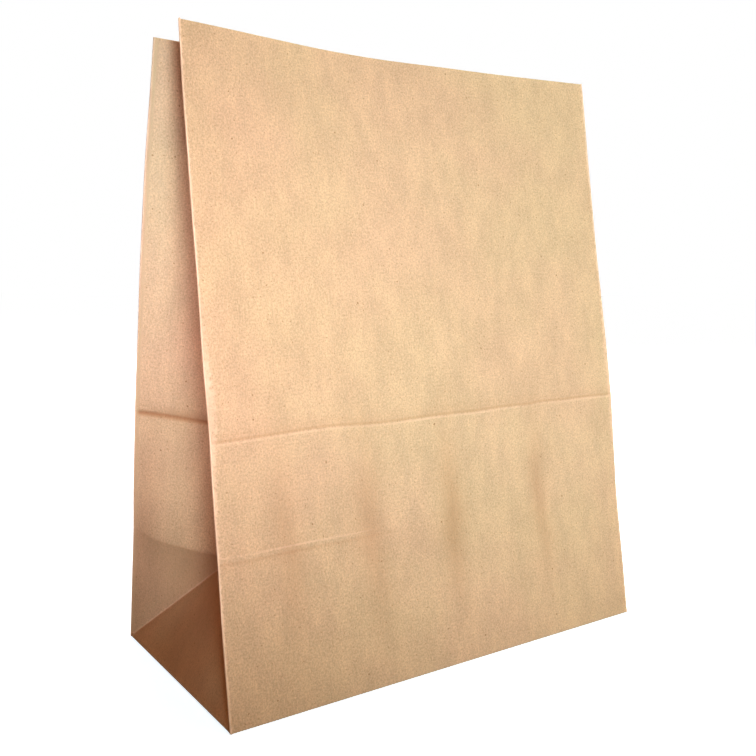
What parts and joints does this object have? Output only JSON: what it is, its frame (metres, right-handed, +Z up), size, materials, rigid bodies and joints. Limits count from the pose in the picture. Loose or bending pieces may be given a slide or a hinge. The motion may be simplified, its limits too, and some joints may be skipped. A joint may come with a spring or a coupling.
{
  "type": "paper lunch bag",
  "caption": "Plain brown kraft paper lunch bag with folded-in side gussets and a flat folded base, standing open on its own with its straight-cut mouth partly closed.",
  "frame": {"origin": "middle of the underside of the folded base, on the surface the bag stands on", "axes": "+Z up towards the mouth, +X along the width from the left gusset to the right gusset, -Y out of the front panel and +Y out of the back panel with the glued lap"},
  "size_m": [0.2032, 0.1026, 0.2478],
  "materials": {
    "kraft_paper": "matt machine-finished brown kraft, unbleached and unprinted, with fine fibres and specks"
  },
  "bodies": {
    "root": {"paper_bag": "kraft_paper"}
  },
  "joints": []
}
